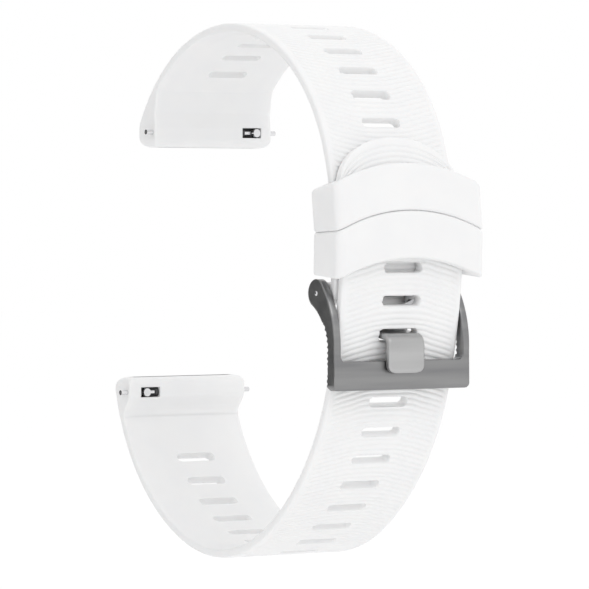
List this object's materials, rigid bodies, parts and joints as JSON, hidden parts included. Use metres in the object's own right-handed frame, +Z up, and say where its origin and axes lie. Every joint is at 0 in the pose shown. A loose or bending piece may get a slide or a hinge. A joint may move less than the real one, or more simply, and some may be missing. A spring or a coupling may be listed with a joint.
{
  "type": "watch strap",
  "caption": "Silicone sports-watch strap buckled into a loop, with sliding keepers, a pin buckle and quick-release spring bars for a watch's lugs.",
  "frame": {"origin": "midway between the axes of the two lug spring bars, on the strap's centre line, where the middle of the watch case would be", "axes": "+X along the spring bars across the strap, +Y from the watch towards the buckle, +Z up towards the buckle strap's lug (12 o'clock)"},
  "size_m": [0.0262, 0.0654, 0.0824],
  "materials": {
    "strap_silicone": "matt white silicone with fine moulded ridges on the outer face",
    "keeper_silicone": "smooth matt white silicone",
    "brushed_buckle": "brushed stainless steel with bright bevels and a milled edge",
    "satin_tongue": "satin stainless steel",
    "polished_pin": "polished stainless steel",
    "spring_wire": "drawn spring wire"
  },
  "bodies": {
    "straps": {"buckle_strap": "strap_silicone", "hole_strap": "strap_silicone", "buckle_bar_tube": "polished_pin", "buckle_bar_spring": "spring_wire", "upper_bar_tube": "polished_pin", "upper_bar_fixed_tip": "polished_pin", "upper_bar_spring": "spring_wire", "lower_bar_tube": "polished_pin", "lower_bar_fixed_tip": "polished_pin", "lower_bar_spring": "spring_wire"},
    "frame": {"buckle_frame": "brushed_buckle"},
    "tongue": {"buckle_tongue": "satin_tongue"},
    "keeper_low": {"lower_keeper": "keeper_silicone"},
    "keeper_high": {"upper_keeper": "keeper_silicone"},
    "buckle_pin_left": {"buckle_bar_tip_left": "polished_pin"},
    "buckle_pin_right": {"buckle_bar_tip_right": "polished_pin"},
    "upper_slider": {"upper_bar_sliding_tip": "polished_pin", "upper_release_knob": "polished_pin"},
    "lower_slider": {"lower_bar_sliding_tip": "polished_pin", "lower_release_knob": "polished_pin"}
  },
  "joints": [
    {"name": "buckle_swing", "type": "hinge", "parent": "straps", "child": "frame", "pos_m": [0, 0.05105, -0.00399], "axis": [1, 0, 0], "range_deg": [0, 3.5]},
    {"name": "tongue_swing", "type": "hinge", "parent": "frame", "child": "tongue", "pos_m": [0, 0.05105, -0.00399], "axis": [1, 0, 0], "range_deg": [0, 2]},
    {"name": "lower_keeper_slide", "type": "hinge", "parent": "straps", "child": "keeper_low", "pos_m": [0, 0.00627, 0.00282], "axis": [1, 0, 0], "range_deg": [0, 4]},
    {"name": "upper_keeper_slide", "type": "hinge", "parent": "keeper_low", "child": "keeper_high", "pos_m": [0, 0.00627, 0.00282], "axis": [1, 0, 0], "range_deg": [0, 3.5]},
    {"name": "buckle_pin_left_slide", "type": "slide", "parent": "straps", "child": "buckle_pin_left", "axis": [1, 0, 0], "range_m": [0, 0.0012], "stiffness_N_per_m": 300, "springref_m": -0.001, "deforming": ["buckle_bar_spring"]},
    {"name": "buckle_pin_right_slide", "type": "slide", "parent": "straps", "child": "buckle_pin_right", "axis": [-1, 0, 0], "range_m": [0, 0.0012], "stiffness_N_per_m": 300, "springref_m": -0.001, "deforming": ["buckle_bar_spring"]},
    {"name": "upper_release", "type": "slide", "parent": "straps", "child": "upper_slider", "axis": [1, 0, 0], "range_m": [0, 0.0016], "stiffness_N_per_m": 300, "springref_m": -0.001, "deforming": ["upper_bar_spring"]},
    {"name": "lower_release", "type": "slide", "parent": "straps", "child": "lower_slider", "axis": [-1, 0, 0], "range_m": [0, 0.0016], "stiffness_N_per_m": 300, "springref_m": -0.001, "deforming": ["lower_bar_spring"]}
  ]
}
